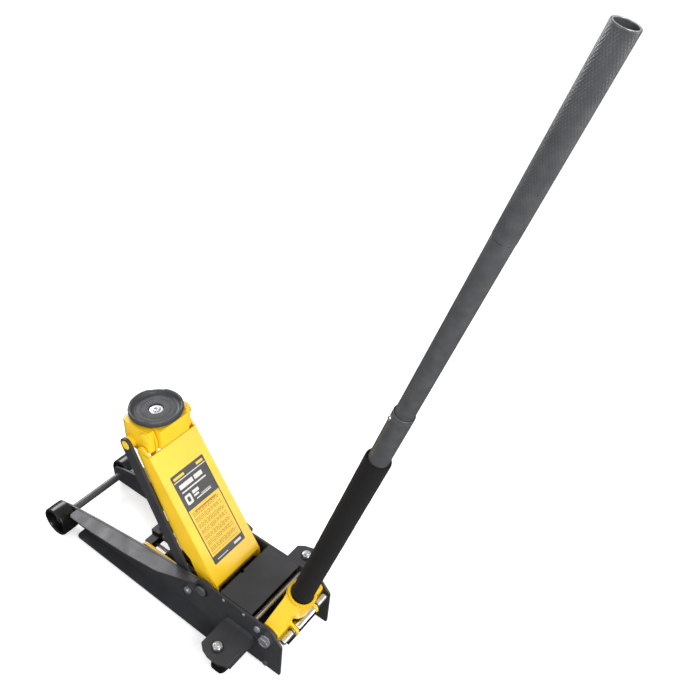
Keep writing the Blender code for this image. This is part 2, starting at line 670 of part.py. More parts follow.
def reservoir():
    """Round oil tank behind the arm's pivot."""
    start = Vector((-59.7 * MM, 0, 62 * MM))
    end = Vector((-26 * MM, 0, 62 * MM))
    tank = rod(start, end, 40 * MM, 28)
    filler = rod(Vector((-43 * MM, 0, 95 * MM)), Vector((-43 * MM, 0, 108 * MM)), 7 * MM, 20)
    return joined(tank, filler)


def ram_cylinder():
    """Steel cylinder of the ram, open at its front."""
    start = Vector((-25.7 * MM, 0, RAM_Z))
    end = Vector((160 * MM, 0, RAM_Z))
    bore = rod(Vector((28 * MM, 0, RAM_Z)), end + X_AXIS * 2 * MM, 11.4 * MM)
    gland = rod(end - X_AXIS * 12 * MM, end, 22 * MM, 24)
    return drilled(joined(rod(start, end - X_AXIS * 6 * MM, 20.5 * MM, 24), gland), bore)


def ram_rod():
    """Chromed ram that pushes the crosshead."""
    return rod(Vector((100 * MM, 0, RAM_Z)), Vector((CROSSHEAD_X[0] - GAP, 0, RAM_Z)), 11 * MM)


def crosshead():
    """Block on the end of the ram, with trunnions for the pull links."""
    body = block(CROSSHEAD_X, (-41.6 * MM, 41.6 * MM), (46 * MM, 68 * MM))
    middle = block((CROSSHEAD_X[0] + 2 * MM, CROSSHEAD_X[1] + 6 * MM), (-16 * MM, 16 * MM),
                   (44 * MM, 76 * MM))
    trunnion = cross_rod((TRUNNION_X, RAM_Z), (-54 * MM, 54 * MM), 5 * MM, 20)
    screw = rod(Vector((241 * MM, 0, 74 * MM)), Vector((241 * MM, 0, 80 * MM)), 5.5 * MM, 6)
    return joined(body, middle, trunnion, screw)


def pull_link(side):
    """Flat link that draws the arm's lug; its rear eye is a slot with vertical play."""
    centre, half, slot_half = RAM_PIN.x, 17 * MM, SLOT_HALF
    foot, head = 35 * MM, 77 * MM
    eye = rounded([(centre - half, foot, 12 * MM), (centre + half, foot, 12 * MM),
                   (centre + half, head, 12 * MM), (centre - half, head, 12 * MM)])
    bar = capsule((centre + 8 * MM, 0, RAM_Z), 8 * MM, (TRUNNION_X, 0, RAM_Z), 11 * MM)
    foot, head = 43.5 * MM, 69.5 * MM
    slot = rounded([(centre - slot_half, foot, 6 * MM), (centre + slot_half, foot, 6 * MM),
                    (centre + slot_half, head, 6 * MM), (centre - slot_half, head, 6 * MM)])
    inner, outer = PULL_LINK_Y
    through = mirrored((inner - 2 * MM, outer + 2 * MM), side)
    thin = mirrored((inner + GAP, outer - GAP), side)
    link = joined(side_shape(eye, mirrored(PULL_LINK_Y, side)), side_shape(bar, thin))
    return drilled(link, side_shape(slot, through),
                   cross_rod((TRUNNION_X, RAM_Z), through, 5.3 * MM, 20))


def ram_pin(side):
    """Stub pin of the arm's lug."""
    return cross_rod(RAM_PIN, mirrored((32 * MM, 52 * MM), side), 6 * MM, 24)


def ram_spring(side):
    """Envelope of the return spring beside the ram's cylinder."""
    start = Vector((-25.4 * MM, side * 27.6 * MM, RAM_Z))
    end = Vector((CROSSHEAD_X[0] - GAP, side * 27.6 * MM, RAM_Z))
    return rod(start, end, 4.2 * MM, 16)


def pump_plunger():
    """Pump plunger with a flat cap under the roller."""
    cap = rod(on_plunger(12), on_plunger(16), 9 * MM)
    return joined(cap, rod(on_plunger(15), on_plunger(64), 5.5 * MM, 20))


def pump_spring():
    """Envelope of the plunger's return spring."""
    spring = rod(on_plunger(16.3), on_plunger(49.7), 9 * MM, 20)
    return drilled(spring, rod(on_plunger(14), on_plunger(52), 6.6 * MM, 20))


def release_valve():
    """Valve stem with a half-round cup around the handle's ball."""
    cup = ball(YOKE_PIVOT, 10.5 * MM)
    opening = turned_block(YOKE_PIVOT - VALVE_DOWN * 9 * MM, VALVE_DOWN, Y_AXIS,
                           (20 * MM, 30 * MM, 30 * MM))
    stem = rod(on_valve(9), on_valve(54), 5 * MM, 20)
    return drilled(joined(cup, stem), opening, ball(YOKE_PIVOT, 7.2 * MM))


# ---- yoke and handle ----------------------------------------------------------------------
def handle_yoke():
    """Cast yoke: cross hub between the side plates, handle socket and roller lugs."""
    half = 71.5 * MM
    hub = side_shape(rounded([(*on_handle(up * MM, front * MM).xz, 13 * MM) for up, front
                              in ((-23, -19), (-23, 21), (36, 21), (36, -17))]), (-half, half))
    wings = [(-half, 30 * MM), (half, 30 * MM), (29 * MM, 83 * MM), (-29 * MM, 83 * MM)]
    basis = Matrix((Y_AXIS, HANDLE_UP, Y_AXIS.cross(HANDLE_UP))).transposed().to_4x4()
    wing = flat_shape(wings, 34 * MM, Matrix.Translation(on_handle(0, 3 * MM)) @ basis)
    socket = turned([(0, 88 * MM), (29 * MM, 88 * MM), (30 * MM, 87 * MM), (30 * MM, 78 * MM),
                     (27.5 * MM, 73 * MM), (27.5 * MM, 8 * MM), (0, 8 * MM)],
                    YOKE_PIVOT, HANDLE_UP, 24)
    lugs = [side_shape(capsule(on_handle(12 * MM), 16 * MM, ROLLER, 10.5 * MM),
                       mirrored((28 * MM, 34.5 * MM), side)) for side in (-1, 1)]
    pocket = turned_block(on_handle(-4 * MM, -31 * MM), HANDLE_UP, Y_AXIS,
                          (70 * MM, 55.4 * MM, 46 * MM))
    knuckle = turned_block(on_handle(-17 * MM), HANDLE_UP, Y_AXIS, (62 * MM, 55.4 * MM, 90 * MM))
    bore = turned([(0, 98 * MM), (23.5 * MM, 98 * MM), (23.5 * MM, 75 * MM), (17.4 * MM, 72 * MM),
                   (17.4 * MM, 21 * MM), (0, 21 * MM)], YOKE_PIVOT, HANDLE_UP, 22)
    neck = rod(on_handle(0), on_handle(30 * MM), 6 * MM, 15)
    holes = [cross_rod(YOKE_PIVOT, mirrored((44 * MM, 76 * MM), side), 9.3 * MM)
             for side in (-1, 1)]
    shaft = cross_rod(ROLLER, (-62 * MM, 62 * MM), ROLLER_SHAFT_R + GAP, 20)
    return drilled(joined(hub, wing, socket, *lugs), pocket, knuckle, bore, neck, *holes, shaft)


def yoke_bolt(side):
    """Shouldered hex bolt on which the yoke turns."""
    shank = cross_rod(YOKE_PIVOT, mirrored((47 * MM, 82 * MM), side), 9 * MM)
    head = cross_rod(YOKE_PIVOT, mirrored((80.3 * MM, 90 * MM), side), 13 * MM, 6)
    return joined(shank, head)


def pump_roller():
    """Hardened roller that presses the plunger."""
    roller = cross_rod(ROLLER, (-27.4 * MM, 27.4 * MM), ROLLER_R)
    return drilled(roller, cross_rod(ROLLER, (-30 * MM, 30 * MM), ROLLER_SHAFT_R + GAP, 20))


def sleeve(start, end, outer, inner, steps=24):
    """Tube around the handle's axis between two distances from the yoke's pivot."""
    length = end - start
    edge = min(0.8 * MM, (outer - inner) / 3)
    profile = [(outer - edge, length), (outer, length - edge), (outer, edge), (outer - edge, 0),
               (inner, 0), (inner, length)]
    return turned(profile, on_handle(start), HANDLE_UP, steps)


def button_line(radius):
    """Point on the snap button's axis at a distance from the handle's axis."""
    front = radius * math.cos(BUTTON_TURN)
    return on_handle(BUTTON_S, front, radius * math.sin(BUTTON_TURN))


def lower_tube():
    """Lower handle tube with the snap button's hole."""
    hole = rod(button_line(12 * MM), button_line(22 * MM), 4.8 * MM, 20)
    return drilled(sleeve(24 * MM, JOINT_S, TUBE_R, 15.2 * MM), hole)


def upper_tube():
    """Upper handle tube, which slides into the lower one and is turned down for the grip."""
    length, seat = HANDLE_S - UPPER_S, KNURL_S - UPPER_S
    outer, turned_down, inner = 14.9 * MM, 13.9 * MM, 12.6 * MM
    profile = [(turned_down, length), (turned_down, seat), (outer, seat), (outer, 0.8 * MM),
               (outer - 0.8 * MM, 0), (inner, 0), (inner, length)]
    hole = rod(button_line(8 * MM), button_line(22 * MM), 4.8 * MM, 20)
    return drilled(turned(profile, on_handle(UPPER_S), HANDLE_UP), hole)


def knurled_grip():
    """Knurled sleeve on the turned-down end of the upper tube."""
    return sleeve(KNURL_S + GAP, HANDLE_S, 15.3 * MM, 14.2 * MM)


def release_drive():
    """Plug in the handle's foot with a ball that turns the release valve."""
    plug = rod(on_handle(25 * MM), on_handle(40 * MM), 14.8 * MM)
    return joined(plug, rod(on_handle(3 * MM), on_handle(27 * MM), 3.6 * MM, 20),
                  ball(YOKE_PIVOT, 6.8 * MM))


def snap_button():
    """Sprung button that locks the two handle tubes together."""
    shank = rod(button_line(9.5 * MM), button_line(18.5 * MM), 4.4 * MM, 20)
    dome = rod(button_line(18.3 * MM), button_line(19.6 * MM), 3.2 * MM, 20)
    flange = rod(button_line(8 * MM), button_line(10 * MM), 6 * MM, 20)
    return joined(shank, dome, flange)


# ---- assembly -----------------------------------------------------------------------------
arm_joint = joint("arm_joint", ARM_PIVOT)
head_joint = joint("head_joint", HEAD_PIVOT, arm_joint)
saddle_joint = joint("saddle_joint", Vector((SADDLE_X, 0, SADDLE_Z[0])), head_joint)
ram_joint = joint("ram_joint", Vector((CROSSHEAD_X[0], 0, RAM_Z)))
yoke_joint = joint("yoke_joint", YOKE_PIVOT)
handle_joint = joint("handle_joint", on_handle(24 * MM), yoke_joint)
roller_joint = joint("roller_joint", ROLLER, yoke_joint)
button_joint = joint("button_joint", button_line(14 * MM), handle_joint)
plunger_joint = joint("plunger_joint", on_plunger(12))
valve_joint = joint("valve_joint", YOKE_PIVOT)

for label, side in (("left", 1), ("right", -1)):
    part(f"side_plate_{label}", side_plate(side), GREY)
    wheel_joint = joint(f"front_wheel_joint_{label}", (AXLE[0], side * WHEEL_Y[0], AXLE[1]))
    part(f"front_wheel_{label}", front_wheel(side), WHEEL, wheel_joint)
    part(f"caster_bracket_{label}", caster_bracket(side), GREY)
    part(f"caster_bolt_{label}", caster_bolt(side), STEEL)
    swivel_joint = joint(f"swivel_joint_{label}", (SWIVEL[0], side * SWIVEL[1], 62 * MM))
    part(f"caster_fork_{label}", caster_fork(side), GREY, swivel_joint)
    part(f"caster_axle_{label}", caster_axle(side), STEEL, swivel_joint)
    roll_place = (SWIVEL[0], side * (SWIVEL[1] - CASTER_TRAIL), CASTER_R)
    roll_joint = joint(f"caster_joint_{label}", roll_place, swivel_joint)
    part(f"caster_wheel_{label}", caster_wheel(side), WHEEL, roll_joint)
    link_joint = joint(f"link_joint_{label}", LINK_FOOT)
    part(f"link_bar_{label}", link_bar(side), GREY, link_joint)
    part(f"link_pin_{label}", link_pin(side), YELLOW, head_joint)
    part(f"link_bolt_{label}", link_bolt(side), STEEL)
    shaft_ring(f"shaft_clip_{label}", side, (80.3 * MM, 83.3 * MM), 15.8 * MM)
    shaft_ring(f"shaft_spacer_{label}", side, (66.8 * MM, 74.7 * MM), 17 * MM)
    part(f"yoke_bolt_{label}", yoke_bolt(side), STEEL)
    part(f"ram_pin_{label}", ram_pin(side), STEEL, arm_joint)
    part(f"pull_link_{label}", pull_link(side), YELLOW, ram_joint)
    part(f"ram_spring_{label}", ram_spring(side), DARK_STEEL, ram_joint)

part("cover_plate", cover_plate(), GREY)
part("base_plate", base_plate(), BLACK)
part("cross_rod", cross_rod((-97 * MM, 116 * MM), (-74.6 * MM, 74.6 * MM), 5 * MM, 20), STEEL)
part("front_axle", cross_rod(AXLE, (-112 * MM, 112 * MM), AXLE_R), DARK_STEEL)
part("arm_shaft", arm_shaft(), DARK_STEEL)
part("lift_arm", lift_arm(), YELLOW, arm_joint)
part("saddle_head", saddle_head(), YELLOW, head_joint)
part("head_pin", head_pin(), YELLOW, head_joint)
part("saddle", saddle(), CASTING, saddle_joint)
part("saddle_bolt", saddle_bolt(), STEEL, head_joint)
part("pump_block", pump_block(), BLACK)
part("reservoir", reservoir(), BLACK)
part("ram_cylinder", ram_cylinder(), BLACK)
part("ram_rod", ram_rod(), STEEL, ram_joint)
part("crosshead", crosshead(), BLACK, ram_joint)
part("pump_plunger", pump_plunger(), STEEL, plunger_joint)
part("pump_spring", pump_spring(), DARK_STEEL, plunger_joint)
part("release_valve", release_valve(), DARK_STEEL, valve_joint)
part("handle_yoke", handle_yoke(), YELLOW, yoke_joint)
roller_shaft = cross_rod(ROLLER, (-68 * MM, 68 * MM), ROLLER_SHAFT_R, 20)
part("roller_shaft", roller_shaft, STEEL, yoke_joint)
part("pump_roller", pump_roller(), STEEL, roller_joint)
part("lower_handle_tube", lower_tube(), DARK_STEEL, handle_joint)
part("foam_sleeve", sleeve(*FOAM_S, 21.7 * MM, TUBE_R + GAP), FOAM, handle_joint)
part("upper_handle_tube", upper_tube(), DARK_STEEL, handle_joint)
part("knurled_grip", knurled_grip(), DARK_STEEL, handle_joint)
part("release_drive", release_drive(), DARK_STEEL, handle_joint)
part("snap_button", snap_button(), STEEL, button_joint)
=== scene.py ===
"""Looks of the hydraulic trolley jack: materials, fine surfaces, small fittings, light and camera.

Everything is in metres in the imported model's frame: +X to the lifting end, +Y left, +Z up.
"""
import json
import math

import bmesh
import bpy
from mathutils import Matrix, Vector


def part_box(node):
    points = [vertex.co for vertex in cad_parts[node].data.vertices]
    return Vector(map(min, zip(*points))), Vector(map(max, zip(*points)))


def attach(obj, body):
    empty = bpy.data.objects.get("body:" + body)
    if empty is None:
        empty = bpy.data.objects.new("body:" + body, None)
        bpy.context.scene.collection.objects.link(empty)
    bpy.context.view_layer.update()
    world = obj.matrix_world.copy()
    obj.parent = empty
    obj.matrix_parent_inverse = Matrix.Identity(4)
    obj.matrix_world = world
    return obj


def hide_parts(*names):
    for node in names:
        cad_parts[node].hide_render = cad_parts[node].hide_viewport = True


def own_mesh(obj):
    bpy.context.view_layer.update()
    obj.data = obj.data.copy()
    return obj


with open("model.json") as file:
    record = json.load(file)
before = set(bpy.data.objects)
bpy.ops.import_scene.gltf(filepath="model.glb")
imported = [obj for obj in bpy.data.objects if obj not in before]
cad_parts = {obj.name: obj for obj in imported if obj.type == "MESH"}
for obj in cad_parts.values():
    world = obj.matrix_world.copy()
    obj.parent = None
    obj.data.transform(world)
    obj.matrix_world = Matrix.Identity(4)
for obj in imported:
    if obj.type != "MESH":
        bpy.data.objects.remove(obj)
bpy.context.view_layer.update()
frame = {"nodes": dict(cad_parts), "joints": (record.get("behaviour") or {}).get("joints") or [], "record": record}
NODES = frame["nodes"]
SLOT_OF = {row["node"]: row["material_slot"] for row in frame["record"]["subparts"]}
JOINTS = {row["name"]: row for row in frame["joints"]}
SIDES = (("left", 1), ("right", -1))
MM = 0.001
X_AXIS, Y_AXIS, Z_AXIS = Vector((1, 0, 0)), Vector((0, 1, 0)), Vector((0, 0, 1))


# ---- camera -------------------------------------------------------------------------------
def make_camera():
    """Camera high behind the jack's left rear corner, looking down along it."""
    data = bpy.data.cameras.new("camera")
    data.sensor_width = 36
    data.lens = 39.24
    data.shift_x = 0.0714
    data.shift_y = -0.0071
    camera = bpy.data.objects.new("camera", data)
    bpy.context.scene.collection.objects.link(camera)
    yaw, pitch, roll = math.radians(-52.6), math.radians(-35.7), math.radians(-1.2)
    ahead = Vector((math.cos(pitch) * math.cos(yaw), math.cos(pitch) * math.sin(yaw),
                    math.sin(pitch)))
    right = ahead.cross(Z_AXIS).normalized()
    down = ahead.cross(right)
    turned_right = math.cos(roll) * right + math.sin(roll) * down
    turned_down = math.cos(roll) * down - math.sin(roll) * right
    basis = Matrix((turned_right, -turned_down, -ahead)).transposed().to_4x4()
    camera.matrix_world = Matrix.Translation((-0.7018, 0.7319, 1.4217)) @ basis
    bpy.context.scene.camera = camera


# ---- materials ----------------------------------------------------------------------------
def map_range(tree, value, source, target):
    """Socket that maps a value from one (low, high) range to another."""
    node = tree.nodes.new("ShaderNodeMapRange")
    for name, number in zip(("From Min", "From Max", "To Min", "To Max"), (*source, *target)):
        node.inputs[name].default_value = number
    tree.links.new(value, node.inputs["Value"])
    return node.outputs["Result"]


class Surface:
    """A Principled material with helpers that add noise to colour, roughness and bump."""

    def __init__(self, name, color, roughness, metallic=0.0, coat=0.0, specular=0.5):
        self.name = name
        self.material = bpy.data.materials.new("finish_" + name)
        self.material.use_nodes = True
        self.tree = self.material.node_tree
        self.shader = self.tree.nodes["Principled BSDF"]
        self.color = color
        self.put("Base Color", (*color, 1))
        self.put("Roughness", roughness)
        self.put("Metallic", metallic)
        self.put("Coat Weight", coat)
        self.put("Coat Roughness", 0.12)
        self.put("Specular IOR Level", specular)
        self.place = self.tree.nodes.new("ShaderNodeTexCoord").outputs["Object"]
        self.height = None

    def put(self, socket, value):
        self.shader.inputs[socket].default_value = value

    def noise(self, scale, detail=4.0):
        """Noise in metres: a scale of 1000 gives grains of about 1 mm."""
        texture = self.tree.nodes.new("ShaderNodeTexNoise")
        texture.inputs["Scale"].default_value = scale
        texture.inputs["Detail"].default_value = detail
        self.tree.links.new(self.place, texture.inputs["Vector"])
        return texture.outputs["Fac"]

    def ramp(self, factor, stops):
        """Colour ramp through (position, colour) stops."""
        node = self.tree.nodes.new("ShaderNodeValToRGB")
        while len(node.color_ramp.elements) < len(stops):
            node.color_ramp.elements.new(0.5)
        for element, (position, color) in zip(node.color_ramp.elements, stops):
            element.position = position
            element.color = (*color, 1)
        self.tree.links.new(factor, node.inputs["Fac"])
        return node.outputs["Color"]

    def mottle(self, scale, amount):
        """Slight uneven tone of the base colour."""
        low = tuple(c * (1 - amount) for c in self.color)
        high = tuple(min(1, c * (1 + amount)) for c in self.color)
        tone = self.ramp(self.noise(scale), [(0.3, low), (0.7, high)])
        self.tree.links.new(tone, self.shader.inputs["Base Color"])
        return self

    def rough(self, scale, low, high):
        """Roughness that wanders between two values."""
        wander = map_range(self.tree, self.noise(scale), (0.3, 0.7), (low, high))
        self.tree.links.new(wander, self.shader.inputs["Roughness"])
        return self

    def bump(self, height, distance, strength):
        """Bump from a height socket; later bumps add to earlier ones."""
        node = self.tree.nodes.new("ShaderNodeBump")
        node.inputs["Distance"].default_value = distance
        node.inputs["Strength"].default_value = strength
        self.tree.links.new(height, node.inputs["Height"])
        if self.height is not None:
            self.tree.links.new(self.height, node.inputs["Normal"])
        self.height = node.outputs["Normal"]
        self.tree.links.new(self.height, self.shader.inputs["Normal"])
        return self


def make_materials():
    """One material for each slot of the record, and a few for small pieces."""
    grey = Surface("grey_enamel", (0.034, 0.0355, 0.0395), 0.42, specular=0.4)
    grey.mottle(18, 0.12).rough(30, 0.36, 0.5)
    grey.bump(grey.noise(900, 2), 0.00012, 0.35).bump(grey.noise(160, 2), 0.0002, 0.25)
    yellow = Surface("yellow_enamel", (0.83, 0.515, 0.007), 0.36, coat=0.2)
    yellow.mottle(14, 0.05).rough(26, 0.3, 0.44)
    yellow.bump(yellow.noise(600, 2), 0.0001, 0.3).bump(yellow.noise(90, 2), 0.0003, 0.2)
    zinc = Surface("zinc_steel", (0.60, 0.61, 0.64), 0.34, metallic=0.85)
    zinc.mottle(120, 0.12).rough(220, 0.26, 0.42)
    zinc.bump(zinc.noise(1500, 2), 0.00004, 0.5)
    chrome = Surface("chrome", (0.72, 0.73, 0.75), 0.1, metallic=1.0)
    chrome.mottle(80, 0.06).rough(150, 0.06, 0.16)
    dark = Surface("dark_steel", (0.098, 0.101, 0.107), 0.36, metallic=0.4, specular=0.4)
    dark.mottle(60, 0.14).rough(90, 0.3, 0.44)
    dark.bump(dark.noise(1200, 2), 0.00005, 0.5)
    black = Surface("black_enamel", (0.010, 0.010, 0.011), 0.34, coat=0.1, specular=0.4)
    black.mottle(40, 0.25).rough(60, 0.24, 0.42)
    black.bump(black.noise(400, 3), 0.0002, 0.4)
    wheel = Surface("black_wheel", (0.006, 0.006, 0.0065), 0.26, coat=0.1, specular=0.3)
    wheel.mottle(60, 0.3).rough(50, 0.16, 0.32)
    wheel.bump(wheel.noise(300, 3), 0.00025, 0.35)
    foam_skin = Surface("black_foam", (0.011, 0.0108, 0.0106), 0.85, specular=0.1)
    foam_skin.mottle(700, 0.35).bump(foam_skin.noise(1400, 4), 0.0003, 0.8)
    foam_skin.put("Sheen Weight", 0.02)
    foam_skin.put("Sheen Roughness", 0.4)
    casting = Surface("grey_casting", (0.040, 0.0415, 0.047), 0.5, specular=0.4)
    casting.mottle(45, 0.12).rough(60, 0.4, 0.55)
    casting.bump(casting.noise(260, 4), 0.0005, 0.45)
    made = [grey, yellow, zinc, chrome, dark, black, wheel, foam_skin, casting]
    for name, color, roughness in (("label_dark", (0.035, 0.035, 0.036), 0.38),
                                   ("label_yellow", (0.80, 0.50, 0.03), 0.4),
                                   ("label_brown", (0.16, 0.10, 0.02), 0.5),
                                   ("label_red", (0.45, 0.10, 0.02), 0.5),
                                   ("label_pale", (0.62, 0.61, 0.58), 0.45)):
        ink = Surface(name, color, roughness)
        ink.mottle(300, 0.08).rough(120, roughness - 0.06, roughness + 0.08)
        ink.bump(ink.noise(2000, 2), 0.00002, 0.3)
        made.append(ink)
    return {surface.name: surface.material for surface in made}


MATERIALS = make_materials()


# ---- CAD nodes that stay ------------------------------------------------------------------
# Bevel widths in millimetres by the start of a node's name; other nodes have SMALL_BEVEL.
SMALL_BEVEL = 0.5
BEVELS = {"side_plate": 0.8, "cover_plate": 0.8, "caster_bracket": 1.4, "lift_arm": 1.2,
          "saddle_head": 3.4, "handle_yoke": 1.0, "link_bar": 0.8, "pull_link": 1.0,
          "saddle": 1.0, "pump_block": 2.0, "crosshead": 1.2, "caster_fork": 0.7,
          "reservoir": 1.5, "ram_cylinder": 1.0, "base_plate": 0.8}
# Long outlines with a few very short edges, which would clamp the whole bevel away.
OPEN_BEVELS = ("lift_arm", "side_plate", "handle_yoke")


def dress(node):
    """Material, welded and bevelled edges, and smooth shading for a CAD node."""
    shown = NODES[node]
    shown.data.materials.clear()
    shown.data.materials.append(MATERIALS[SLOT_OF[node]])
    weld = shown.modifiers.new("weld", "WELD")
    weld.merge_threshold = 0.00001
    width = next((BEVELS[key] for key in BEVELS if node.startswith(key)), SMALL_BEVEL)
    bevel = shown.modifiers.new("bevel", "BEVEL")
    bevel.width = width * MM
    bevel.segments = 3
    bevel.limit_method = "ANGLE"
    bevel.angle_limit = math.radians(38)
    bevel.use_clamp_overlap = not node.startswith(OPEN_BEVELS)
    shown.data.shade_smooth()
    smooth = shown.modifiers.new("even", "WEIGHTED_NORMAL")
    smooth.keep_sharp = True


for node in NODES:
    dress(node)


# ---- turned and swept pieces ----------------------------------------------------------------
def filleted(corners, closed):
    """Profile of (radius, height) or (radius, height, fillet) corners with its fillets drawn."""
    out = []
    count = len(corners)
    for i, corner in enumerate(corners):
        here = Vector(corner[:2])
        size = corner[2] if len(corner) > 2 else 0
        if not size or (not closed and i in (0, count - 1)):
            out.append(here)
            continue
        back = Vector(corners[i - 1][:2]) - here
        ahead = Vector(corners[(i + 1) % count][:2]) - here
        size = min(size, 0.48 * back.length, 0.48 * ahead.length)
        start, end = here + back.normalized() * size, here + ahead.normalized() * size
        for k in range(5):
            t = k / 4
            out.append(start * (1 - t) ** 2 + here * 2 * t * (1 - t) + end * t ** 2)
    return [(p.x, p.y) for p in out]


def finish(name, mesh, surface, body, nodes=(), sharp=32):
    """Object from a mesh, with its material, riding on a body and standing for CAD nodes."""
    mesh.validate()
    shown = bpy.data.objects.new(name, mesh)
    bpy.context.scene.collection.objects.link(shown)
    mesh.materials.append(MATERIALS[surface])
    mesh.shade_smooth()
    mesh.set_sharp_from_angle(angle=math.radians(sharp))
    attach(shown, body)
    if nodes:
        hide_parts(*nodes)
    return shown


def lathe(name, profile, base, axis, surface, body, nodes=(), steps=96, closed=True,
          shape=None):
    """Profile in millimetres turned about an axis; shape(turn, r, h) may change the radius."""
    axis = Vector(axis).normalized()
    side = Y_AXIS if abs(axis.y) < 0.7 else X_AXIS
    u = (side - axis * side.dot(axis)).normalized()
    v = axis.cross(u)
    base = Vector(base)
    points = filleted(profile, closed)
    verts, rings, faces = [], [], []
    for r, h in points:
        if r <= 0:
            rings.append([len(verts)])
            verts.append(base + axis * h * MM)
            continue
        rings.append(list(range(len(verts), len(verts) + steps)))
        for k in range(steps):
            turn = 2 * math.pi * k / steps
            radius, height = shape(turn, r, h) if shape else (r, h)
            out = u * math.cos(turn) + v * math.sin(turn)
            verts.append(base + out * radius * MM + axis * height * MM)
    pairs = list(zip(rings, rings[1:]))
    if closed and len(rings[0]) > 1:
        pairs.append((rings[-1], rings[0]))
    for low, high in pairs:
        for k in range(steps):
            n = (k + 1) % steps
            if len(low) == 1 and len(high) == 1:
                break
            if len(low) == 1:
                faces.append((low[0], high[n], high[k]))
            elif len(high) == 1:
                faces.append((low[k], low[n], high[0]))
            else:
                faces.append((low[k], low[n], high[n], high[k]))
    mesh = bpy.data.meshes.new(name)
    mesh.from_pydata(verts, [], faces)
    bm = bmesh.new()
    bm.from_mesh(mesh)
    bmesh.ops.recalc_face_normals(bm, faces=bm.faces)
    bm.to_mesh(mesh)
    bm.free()
    return finish(name, mesh, surface, body, nodes)


def hexagon(turn, apothem):
    """Distance from a hexagon's middle to its edge in a direction."""
    return apothem / math.cos(turn % (math.pi / 3) - math.pi / 6)


def hexed(low, high, apothem):
    """Shape for lathe: a hexagon between two heights, cut by the profile's own cone."""
    def shape(turn, r, h):
        if low <= h <= high:
            return min(r, hexagon(turn, apothem)), h
        return r, h
    return shape


def tube(name, points, radius, surface, body, nodes=(), sides=12, ripple=None):
    """Round wire of a radius in millimetres through points, closed at its ends."""
    points = [Vector(p) for p in points]
    verts, faces = [], []
    normal = None
    for i, point in enumerate(points):
        ahead = points[min(i + 1, len(points) - 1)] - points[max(i - 1, 0)]
        ahead.normalize()
        if normal is None:
            normal = ahead.orthogonal().normalized()
        normal = (normal - ahead * normal.dot(ahead)).normalized()
        other = ahead.cross(normal)
        size = radius * MM * (ripple(i / (len(points) - 1)) if ripple else 1)
        for k in range(sides):
            turn = 2 * math.pi * k / sides
            verts.append(point + (normal * math.cos(turn) + other * math.sin(turn)) * size)
    for i in range(len(points) - 1):
        for k in range(sides):
            n = (k + 1) % sides
            a, b = i * sides, (i + 1) * sides
            faces.append((a + k, a + n, b + n, b + k))
    faces.append(tuple(reversed(range(sides))))
    last = (len(points) - 1) * sides
    faces.append(tuple(range(last, last + sides)))
    mesh = bpy.data.meshes.new(name)
    mesh.from_pydata(verts, [], faces)
    return finish(name, mesh, surface, body, nodes, sharp=50)


def coil(start, end, radius, turns, crowding=0.035, per_turn=28):
    """Points of a spring; crowding draws its end turns closer together."""
    start, end = Vector(start), Vector(end)
    along = end - start
    u = along.orthogonal().normalized()
    v = along.normalized().cross(u)
    points = []
    count = int(turns * per_turn)
    for k in range(count + 1):
        turn = k / per_turn
        t = turn / turns
        share = t - crowding * math.sin(2 * math.pi * t)
        angle = 2 * math.pi * turn
        points.append(start + along * share
                      + (u * math.cos(angle) + v * math.sin(angle)) * radius * MM)
    return points


# ---- places from the frame ------------------------------------------------------------------
def middle(node):
    """Middle of a CAD node's box."""
    low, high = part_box(node)
    return (low + high) / 2


def foot_of(node):
    """Middle of the bottom of a CAD node's box."""
    spot = middle(node)
    spot.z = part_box(node)[0].z
    return spot


def top_of(node):
    """Middle of the top of a CAD node's box."""
    spot = middle(node)
    spot.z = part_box(node)[1].z
    return spot


ARM_PIVOT = Vector(JOINTS["arm_lift"]["pos_m"])
HEAD_PIVOT = Vector(JOINTS["head_level"]["pos_m"])
YOKE_PIVOT = Vector(JOINTS["handle_pump"]["pos_m"])
HANDLE_UP = Vector(JOINTS["handle_twist"]["axis"]).normalized()
HANDLE_FRONT = Y_AXIS.cross(HANDLE_UP)
LINK_FOOT = Vector(JOINTS["link_swing_left"]["pos_m"])
LINK_FOOT.y = 0
LINK_TOP = LINK_FOOT + HEAD_PIVOT - ARM_PIVOT
PLUNGER_DOWN = Vector(JOINTS["plunger_slide"]["axis"]).normalized()
ROLLER = middle("pump_roller")
AXLE = middle("front_axle")
ARM_ALONG = (HEAD_PIVOT - ARM_PIVOT).normalized()
ARM_ABOVE = Vector((-ARM_ALONG.z, 0, ARM_ALONG.x))
AXLE_END = 112      # millimetres from the middle plane
PLATE_FACE = 80     # outer face of a side plate, likewise


def at_y(point, y):
    """A point of the middle plane moved to a y given in millimetres."""
    return Vector((point.x, y * MM, point.z))


def on_handle(along, front=0.0, side=0.0):
    """Point in the handle's directions, in millimetres from the yoke's pivot."""
    return YOKE_PIVOT + (HANDLE_UP * along + HANDLE_FRONT * front + Y_AXIS * side) * MM


# ---- wheels ---------------------------------------------------------------------------------
def ribbed(count, low, high, depth):
    """Shape for lathe: shallow radial ribs on a wheel's sunk face."""
    def shape(turn, r, h):
        if low < r < high and h > 5:
            wave = 0.5 + 0.5 * math.cos(turn * count)
            return r, h + depth * wave ** 6
        return r, h
    return shape


